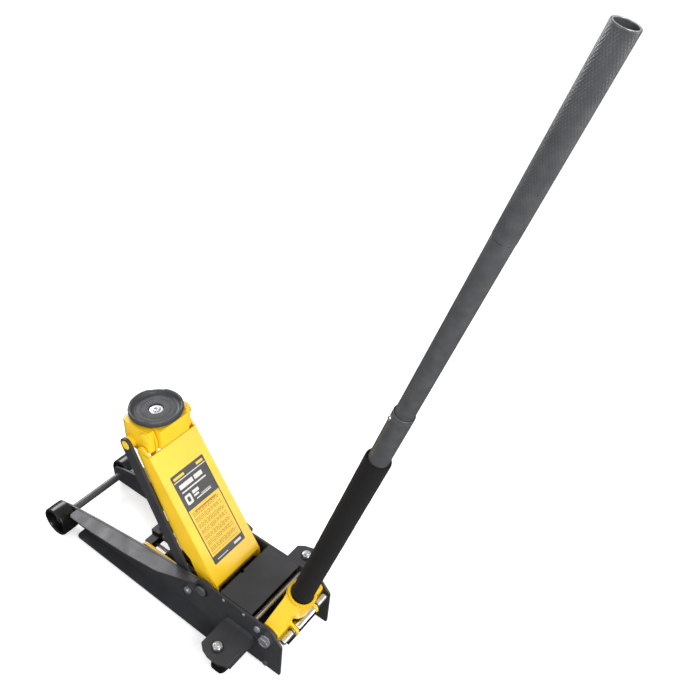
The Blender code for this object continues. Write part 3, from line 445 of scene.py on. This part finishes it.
for label, side in SIDES:
    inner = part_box(f"front_wheel_{label}")[0 if side > 0 else 1].y
    base = Vector((AXLE.x, inner, AXLE.z))
    lathe(f"front_wheel_cast_{label}",
          [(9.2, 0, .6), (16, 0, .8), (17, 1.6, .8), (29, 1.6, .8), (30, 0, .8), (34, 0, 1.2),
           (36.3, 2.4, 1.5), (36.5, 20.7), (36.3, 39, 1.5), (34, 41.4, 1.2), (29.6, 41.4, 1),
           (28.6, 38, 1), (26.6, 14, 5), (24, 13.2, 2), (20, 13.6, 2), (18, 15.4, 3),
           (16, 24, 1.5), (15, 26, 1.2), (9.2, 26, .6)],
          base, Y_AXIS * side, "black_wheel", f"wheel_{label}", [f"front_wheel_{label}"],
          steps=144, shape=ribbed(8, 17, 27, 1.6))
    tip = at_y(AXLE, AXLE_END * side)
    lathe(f"axle_washer_{label}", [(9.0, -3.7, .3), (14.2, -3.7, .4), (14.2, -2.3, .4), (9.0, -2.3, .3)],
          tip, Y_AXIS * side, "zinc_steel", "chassis")
    lathe(f"axle_clip_{label}", [(8.9, -2.1, .2), (11.6, -2.1, .5), (11.6, -0.7, .5), (8.9, -0.7, .2)],
          tip, Y_AXIS * side, "dark_steel", "chassis", steps=64)
    hub = middle(f"caster_wheel_{label}")
    lathe(f"caster_tread_{label}",
          [(4.3, -12, .4), (8, -12, .8), (9, -9.6, .8), (18, -9.6, .8), (19.6, -12, .8),
           (22.4, -12, 1.5), (24.8, -9.6, 2), (25, 0), (24.8, 9.6, 2), (22.4, 12, 1.5),
           (19.6, 12, .8), (18, 9.6, .8), (9, 9.6, .8), (8, 12, .8), (4.3, 12, .4)],
          hub, X_AXIS, "black_wheel", f"caster_{label}", [f"caster_wheel_{label}"], steps=96)
    lathe(f"caster_rivet_{label}",
          [(0, -18.4), (4.2, -18.3, .6), (6.5, -17.2, .6), (6.5, -16.3, .3), (4, -16.3), (4, 16.3),
           (6.5, 16.3, .3), (6.5, 17.2, .6), (4.2, 18.3, .6), (0, 18.4)],
          hub, X_AXIS, "zinc_steel", f"fork_{label}", [f"caster_axle_{label}"], steps=48,
          closed=False)

# ---- bolts, nuts and pins -------------------------------------------------------------------
for label, side in SIDES:
    foot = foot_of(f"caster_bolt_{label}")
    lathe(f"caster_nut_{label}",
          [(0, 0), (6, 0, .5), (10, .6, .5), (10, 3.6, .6), (6.4, 4.4), (6.4, 23.4),
           (7.9, 24.9), (10.4, 25.6, .3), (10.4, 30.6, .3), (8.2, 32, .8), (6.2, 32.2, .6),
           (5.4, 34.4, 1.6), (0, 34.9)],
          foot, Z_AXIS, "zinc_steel", "chassis", [f"caster_bolt_{label}"], steps=72,
          closed=False, shape=hexed(24.6, 31.9, 9.1))
    lathe(f"caster_nut_washer_{label}",
          [(6.6, 23.4, .2), (12.4, 23.4, .4), (12.4, 24.8, .5), (6.6, 24.8, .2)],
          foot, Z_AXIS, "black_enamel", "chassis", steps=72)
    lathe(f"yoke_screw_{label}",
          [(0, -33), (8, -33, 1), (9, -32, .5), (9, .4), (12.6, .4, .3), (12.6, 1.2, .3),
           (11.2, 1.5), (13.1, 2.0, .2), (13.1, 8.6, .2), (10.6, 9.9, .5), (8.6, 9.9, .4),
           (8.0, 9.2, .4), (0, 9.2)],
          at_y(YOKE_PIVOT, PLATE_FACE * side), Y_AXIS * side, "zinc_steel", "chassis",
          [f"yoke_bolt_{label}"], steps=72, closed=False, shape=hexed(1.6, 9.8, 11.3))
    lathe(f"link_screw_{label}",
          [(0, -16.5), (8.6, -16.5, .8), (9.4, -15.6, .5), (9.4, -13.4, .4), (6, -13.4),
           (6, -7), (9, -7, .3), (9, -5.4, .3), (6, -5.4), (6, .4), (9.3, .6, .3),
           (9.5, 5.4, .3), (7.6, 6.6, .5), (5.4, 6.7, .2), (5.0, 8.0, .7), (0, 8.0)],
          at_y(LINK_FOOT, PLATE_FACE * side), Y_AXIS * side, "zinc_steel", "chassis",
          [f"link_bolt_{label}"], steps=72, closed=False, shape=hexed(.5, 6.5, 8.25))
    lathe(f"link_eye_pin_{label}",
          [(0, 48), (7, 48, 1), (8, 49, .5), (8, 72.9), (9.8, 72.9, .3), (10, 73.9, .5),
           (8.6, 74.6, .8), (3, 74.7), (2.6, 74.0, .3), (0, 73.9)],
          at_y(LINK_TOP, 0), Y_AXIS * side, "yellow_enamel", "head", [f"link_pin_{label}"],
          steps=72, closed=False)
    lathe(f"shaft_circlip_{label}",
          [(13.2, 80.4, .2), (15.6, 80.4, .5), (15.8, 81.8), (15.6, 83.2, .5), (13.2, 83.2, .2)],
          at_y(ARM_PIVOT, 0), Y_AXIS * side, "black_enamel", "chassis",
          [f"shaft_clip_{label}"], steps=72)

lathe("arm_shaft_turned",
      [(0, -86.3), (3, -86.3, .3), (3.6, -85.6, .3), (5, -86.3, .3), (11.2, -86.3, .6),
       (13, -84.6, .8), (13, 84.6, .8), (11.2, 86.3, .6), (5, 86.3, .3), (3.6, 85.6, .3),
       (3, 86.3, .3), (0, 86.3)],
      at_y(ARM_PIVOT, 0), Y_AXIS, "dark_steel", "chassis", ["arm_shaft"], closed=False)
lathe("head_pin_turned",
      [(0, -60.4), (6, -60.4, .5), (10.6, -59.4, 1), (11, -57.3, .4), (9, -57.3), (9, 57.3),
       (11, 57.3, .4), (10.6, 59.4, 1), (6, 60.4, .5), (0, 60.4)],
      at_y(HEAD_PIVOT, 0), Y_AXIS, "yellow_enamel", "head", ["head_pin"], steps=72, closed=False)
SOCKET_FLOOR = -2.6


def socketed(turn, r, h):
    """Hexagonal socket in the saddle screw's head."""
    if r < 3.4 and h < -0.2:
        return hexagon(turn, r * 0.9), h
    return r, h


lathe("saddle_screw",
      [(0, SOCKET_FLOOR), (3, SOCKET_FLOOR), (3, -.4), (3.6, -.05, .2), (7, -.05, .6),
       (8, -1, .5), (8, -2.0), (9.4, -2.3, .4), (13.2, -2.3, .5), (13.9, -3.0, .4),
       (13.9, -4.3, .3), (6, -4.4), (6, -43), (5, -43.4, .5), (0, -43.4)],
      top_of("saddle_bolt"), Z_AXIS, "zinc_steel", "head", ["saddle_bolt"], steps=72, closed=False,
      shape=socketed)

SEAM_INSET, SEAM_STEPS = 3, 60
for label, side in SIDES:
    for name, x, z, r, tall, surface in (("cover_screw_front", -26.7, 130.9, 2.6, 1.8, "zinc_steel"),
                                         ("cover_screw_rear", -79.3, 131.2, 2.6, 1.8, "zinc_steel"),
                                         ("plate_bolt", -114, 115.9, 5.4, 4.2, "zinc_steel"),
                                         ("plate_stud", -133.2, 23.4, 4.8, 4.4, "dark_steel")):
        spot = Vector((x, PLATE_FACE * side, z)) * MM
        lathe(f"{name}_{label}",
              [(0, .06), (r * 1.45, .06, .2), (r * 1.45, .7, .2), (r * 1.1, .75), (r * 1.1, tall, .3),
               (r * .75, tall + .5, .4), (0, tall + .5)],
              spot, Y_AXIS * side, surface, "chassis", steps=48, closed=False,
              shape=hexed(.74, tall + .1, r))
    low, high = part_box(f"caster_bracket_{label}")
    seam_from, seam_to = low.x + SEAM_INSET * MM, high.x - SEAM_INSET * MM
    seam = [Vector((seam_from + (seam_to - seam_from) * k / SEAM_STEPS,
                    side * (PLATE_FACE + 1) * MM, high.z + 0.4 * MM))
            for k in range(SEAM_STEPS + 1)]
    tube(f"bracket_weld_{label}", seam, 1.9, "grey_enamel", "chassis", sides=14,
         ripple=lambda t: 1 + 0.12 * math.sin(95 * t) - 0.5 * (2 * t - 1) ** 8)

# ---- saddle ---------------------------------------------------------------------------------
def lugged(turn, r, h):
    """Four broad raised lugs on the saddle's rim."""
    if h > 9.5:
        wave = abs(math.sin(2 * turn))
        low_share = min(1, max(0, (wave - 0.72) / 0.2))
        smooth_share = low_share * low_share * (3 - 2 * low_share)
        return r, h - 2.6 * smooth_share * (h - 9.5) / 5.8
    return r, h


lathe("saddle_cast",
      [(6.4, 0, .3), (49, 0, 1.5), (53.6, 4.6, 1.5), (54.6, 7, 1), (54.6, 13.6, 1.2),
       (53, 15.3, 1.2), (49.4, 15.3, 1.2), (47.4, 12.5, 1.5), (46, 8.6, 1.5), (43.5, 7.3, 1.5),
       (40, 7.3), (39.4, 6.9), (38.8, 7.3), (30, 7.3), (29.4, 6.9), (28.8, 7.3),
       (15.4, 7.3, .4), (14.6, 6.6, .3), (14.6, 2.6), (6.4, 2.6)],
      foot_of("saddle"), Z_AXIS, "grey_casting", "saddle", ["saddle"], steps=192, shape=lugged)

# ---- handle ---------------------------------------------------------------------------------
FOAM_FROM, FOAM_TO, FOAM_STEP = 84.2, 544.8, 5
KNURL_FOOT, HANDLE_TOP = 974.0, 1219.2
KNURLS, KNURL_PITCH, KNURL_DEPTH = 27, 6.2, 0.5
STEPS_PER_KNURL = 6


def handle_piece(name, profile, surface, nodes, steps=96, shape=None):
    """Turned piece about the handle's axis, with heights from the yoke's pivot."""
    return lathe(name, profile, YOKE_PIVOT, HANDLE_UP, surface, "handle", nodes, steps,
                 True, shape)


def uneven(turn, r, h):
    """Slight unevenness of the foam's skin."""
    if r < 20:
        return r, h
    wave = math.sin(3 * turn + h * 0.051) * math.sin(h * 0.083 + turn)
    return r + 0.16 * wave, h


foam_profile = [(17.2, FOAM_FROM, .5), (20.2, FOAM_FROM, 1.6), (21.5, FOAM_FROM + 2.3, 1.5)]
foam_profile += [(21.52, 90 + FOAM_STEP * k) for k in range(91)]
foam_profile += [(21.5, FOAM_TO - 2.2, 1.5), (20.2, FOAM_TO, 1.6), (17.2, FOAM_TO, .5)]
foam = handle_piece("foam_grip", foam_profile, "black_foam", ["foam_sleeve"], shape=uneven)
handle_piece("lower_tube_turned",
             [(15.2, 24, .3), (17, 24, .5), (17, 649), (16.7, 649.4), (16.7, 650.6), (17, 651),
              (17, 656.4, .6), (16.2, 657, .4), (15.2, 656.6, .3)], "dark_steel",
             ["lower_handle_tube"])
handle_piece("upper_tube_turned",
             [(12.6, 575, .4), (14.9, 575, .6), (14.9, KNURL_FOOT - 0.2, .3), (13.9, KNURL_FOOT),
              (13.9, HANDLE_TOP, .4), (12.6, HANDLE_TOP, .4)],
             "dark_steel", ["upper_handle_tube"])


def knurled(turn, r, h):
    """Crossed helical grooves that leave rows of small diamonds."""
    if r < 15.25:
        return r, h
    around = KNURLS * turn / (2 * math.pi)
    first = abs((around + h / KNURL_PITCH) % 1 - 0.5) * 2
    second = abs((around - h / KNURL_PITCH) % 1 - 0.5) * 2
    edge = min(1, (h - KNURL_FOOT - 1.5) / 3, (HANDLE_TOP - 0.4 - h) / 3)
    return r - KNURL_DEPTH * (1 - min(1, 2.2 * min(first, second))) * max(0, edge), h


knurl_profile = [(14.2, KNURL_FOOT + 0.4, .2), (15.0, KNURL_FOOT + 0.5, .2)]
knurl_profile += [(15.29, KNURL_FOOT + 1 + k * KNURL_PITCH / STEPS_PER_KNURL) for k in range(237)]
knurl_profile += [(15.0, HANDLE_TOP + 0.5, .2), (14.2, HANDLE_TOP + 0.6, .2)]
handle_piece("knurled_grip_turned", knurl_profile, "dark_steel", ["knurled_grip"],
             steps=KNURLS * STEPS_PER_KNURL, shape=knurled)
handle_piece("tube_end_lip",
             [(12.7, HANDLE_TOP + 0.1, .1), (14.1, HANDLE_TOP + 0.1, .1),
              (14.1, HANDLE_TOP + 0.7, .2), (12.8, HANDLE_TOP + 0.7, .2)],
             "zinc_steel", [])
button_turn = math.radians(40)
button_axis = HANDLE_FRONT * math.cos(button_turn) + Y_AXIS * math.sin(button_turn)
lathe("snap_button_turned",
      [(0, 8), (6, 8, .5), (6, 10, .4), (4.4, 10), (4.4, 17.4), (4.3, 18.5, 1.2), (2.6, 19.5, 1.2),
       (0, 19.6)],
      on_handle(642), button_axis, "zinc_steel", "button", ["snap_button"], steps=48,
      closed=False)

# ---- roller, plunger and springs ------------------------------------------------------------
lathe("pump_roller_turned",
      [(6.8, -27.3, .3), (9.8, -27.3, .8), (11, -26.1, .8), (11, 26.1, .8), (9.8, 27.3, .8),
       (6.8, 27.3, .3)],
      ROLLER, Y_AXIS, "chrome", "roller", ["pump_roller"])
lathe("roller_shaft_turned",
      [(0, -68), (5.4, -68, .5), (6.5, -67, .5), (6.5, -40), (6.0, -39.6), (6.0, -38.2), (6.5, -37.8),
       (6.5, 37.8), (6.0, 38.2), (6.0, 39.6), (6.5, 40), (6.5, 67, .5), (5.4, 68, .5), (0, 68)],
      ROLLER, Y_AXIS, "zinc_steel", "yoke", ["roller_shaft"], steps=72, closed=False)
for label, side in SIDES:
    lathe(f"roller_clip_{label}", [(6.1, 38.3, .2), (9.2, 38.3, .3), (9.2, 39.5, .3), (6.1, 39.5, .2)],
          ROLLER, Y_AXIS * side, "dark_steel", "yoke", steps=48)
    low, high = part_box(f"ram_spring_{label}")
    start, end = middle(f"ram_spring_{label}"), middle(f"ram_spring_{label}")
    start.x, end.x = low.x + 1 * MM, high.x - 1 * MM
    spring = tube(f"ram_coil_{label}", coil(start, end, 3.3, 62, 0.004375, 14), 0.85, "dark_steel",
                  "chassis", [f"ram_spring_{label}"], sides=6)
    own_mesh(spring)
spring_from, spring_to, spring_seat = (ROLLER + PLUNGER_DOWN * along * MM
                                       for along in (17.6, 48.6, 49.7))
pump_coil = tube("pump_coil", coil(spring_from, spring_to, 7.7, 6.5), 1.15, "dark_steel",
                 "chassis", ["pump_spring"])
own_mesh(pump_coil)

# ---- generic label on the arm ---------------------------------------------------------------
PLATE_REAR = ARM_PIVOT + (ARM_ALONG * 2 + ARM_ABOVE * 33.6) * MM
PLATE_FRONT = ARM_PIVOT + (ARM_ALONG * 304 - ARM_ABOVE * 4) * MM
PLATE_REAR.y = PLATE_FRONT.y = 0
PLATE_ALONG = (PLATE_FRONT - PLATE_REAR).normalized()
PLATE_UP = PLATE_ALONG.cross(Y_AXIS)
PLATE_UP = PLATE_UP if PLATE_UP.dot(ARM_ABOVE) > 0 else -PLATE_UP


def on_plate(along, y, up):
    """Point over the arm's top plate, in millimetres from its rear edge."""
    return PLATE_REAR + (PLATE_ALONG * along + Y_AXIS * y + PLATE_UP * up) * MM


def print_patch(name, patches, up, surface):
    """Thin raised areas on the arm's top: (start, end, y low, y high, corner radius)."""
    bm = bmesh.new()
    for start, end, low, high, radius in patches:
        ring = []
        for cx, cy, first in ((end - radius, high - radius, 0), (start + radius, high - radius, 90),
                              (start + radius, low + radius, 180), (end - radius, low + radius, 270)):
            for k in range(5 if radius > 0.3 else 1):
                turn = math.radians(first + (22.5 * k if radius > 0.3 else 45))
                ring.append((cx + radius * math.cos(turn), cy + radius * math.sin(turn)))
        bottom = [bm.verts.new(on_plate(x, y, up[0])) for x, y in ring]
        top = [bm.verts.new(on_plate(x, y, up[1])) for x, y in ring]
        bm.faces.new(top)
        bm.faces.new(list(reversed(bottom)))
        for k in range(len(ring)):
            n = (k + 1) % len(ring)
            bm.faces.new((bottom[k], bottom[n], top[n], top[k]))
    bmesh.ops.recalc_face_normals(bm, faces=bm.faces)
    mesh = bpy.data.meshes.new(name)
    bm.to_mesh(mesh)
    bm.free()
    return finish(name, mesh, surface, "arm", sharp=30)


FIELD_START, FIELD_END = 56.5, 165.5
LINE_PITCH, LINE_HEIGHT, LINE_FROM, WORDS = 2.75, 1.1, 38, 9
LINE_LENGTHS = (70, 76, 73, 58, 0, 75, 66, 76, 41, 0)     # a length of 0 is an empty line
LOW_LAYER, MARK_LAYER, TOP_LAYER = (0.03, 0.14), (0.12, 0.2), (0.18, 0.24)


def fine_lines():
    """Rows of short bars, as patches, that stand for a paragraph of fine print."""
    patches = []
    position, index = FIELD_END - 7, 0
    while position > FIELD_START + 5:
        length = LINE_LENGTHS[index % len(LINE_LENGTHS)]
        for word in range(WORDS if length else 0):
            first = LINE_FROM - length * word / WORDS
            width = length / WORDS - 1.1 - 0.5 * ((word * 7 + index * 3) % 3)
            patches.append((position - LINE_HEIGHT, position, first - width, first, 0))
        position -= LINE_PITCH
        index += 1
    return patches


print_patch("label_base", [(39.5, 246, -45, 45, 2.5)], LOW_LAYER, "label_dark")
print_patch("label_field", [(FIELD_START, FIELD_END, -42.4, 42.4, 0.4)], MARK_LAYER, "label_yellow")
print_patch("label_fine_lines", fine_lines(), TOP_LAYER, "label_brown")
print_patch("label_heading_line", [(156.6, 159.4, -30, 30, 0.5)], TOP_LAYER, "label_red")
pale = [(229.2, 231.2, -42.5, 42.5, 0.1), (212, 221.5, 0, 36, 1.2), (212, 221.5, -26, -4, 1.2),
        (203.5, 206.5, -30, 36, 0.5), (176, 197, 20, 36, 3), (190, 197, -2, 15, 0.8),
        (183.5, 187.5, 2, 15, 0.5), (176, 178.4, -28, 12, 0.4), (180, 181.4, -28, -2, 0.3),
        (45, 50.5, -36, -16, 0.6), (45, 46.6, 4, 34, 0.4)]
print_patch("label_pale_marks", pale, MARK_LAYER, "label_pale")
gold = [(234.5, 240, 12, 40, 0.8), (234.5, 240, -40, -22, 0.8)]
print_patch("label_gold_marks", gold, MARK_LAYER, "label_yellow")
print_patch("label_cutout", [(181, 192, 24.5, 31.5, 2.2)], TOP_LAYER, "label_dark")


# ---- stage --------------------------------------------------------------------------------
def make_stage():
    """Flat pale floor that reflections leave out, and a sky that is dark below the horizon."""
    bpy.ops.mesh.primitive_circle_add(vertices=96, radius=60, fill_type="NGON",
                                      location=(0, 0, -0.0005))
    floor = bpy.context.object
    floor.name = "floor"
    surface = Surface("floor", (0.82, 0.82, 0.82), 0.8, specular=0.1)
    surface.put("Emission Color", (1, 1, 1, 1))
    surface.put("Emission Strength", 0.5)
    floor.data.materials.append(surface.material)
    floor.visible_glossy = False
    world = bpy.data.worlds.new("studio")
    bpy.context.scene.world = world
    world.use_nodes = True
    tree = world.node_tree
    background = tree.nodes["Background"]
    background.inputs["Color"].default_value = (1, 1, 1, 1)
    height = tree.nodes.new("ShaderNodeSeparateXYZ")
    place = tree.nodes.new("ShaderNodeTexCoord").outputs["Generated"]
    tree.links.new(place, height.inputs["Vector"])
    strength = map_range(tree, height.outputs["Z"], (-0.15, 0.05), (0.03, 0.62))
    tree.links.new(strength, background.inputs["Strength"])
    bpy.context.scene.view_settings.view_transform = "Standard"


def area_light(name, place, target, size, power):
    """Soft square light aimed at a point."""
    data = bpy.data.lights.new(name, "AREA")
    data.shape = "RECTANGLE"
    data.size = data.size_y = size
    data.energy = power
    lamp = bpy.data.objects.new(name, data)
    lamp.location = place
    aim = Vector(target) - Vector(place)
    lamp.rotation_euler = aim.to_track_quat("-Z", "Y").to_euler()
    bpy.context.scene.collection.objects.link(lamp)


make_camera()
make_stage()
area_light("key", (-2.3, 0.7, 2.3), (0.1, 0, 0.3), 1.5, 66)
area_light("fill", (0.4, 2.4, 1.8), (0, 0, 0.3), 1.6, 14)
area_light("sheen", (-2.4, -1.2, 0.5), (0.1, 0, 0.3), 1.4, 20)
area_light("rim", (2.6, -1.0, 1.7), (0.1, 0, 0.2), 1.3, 50)
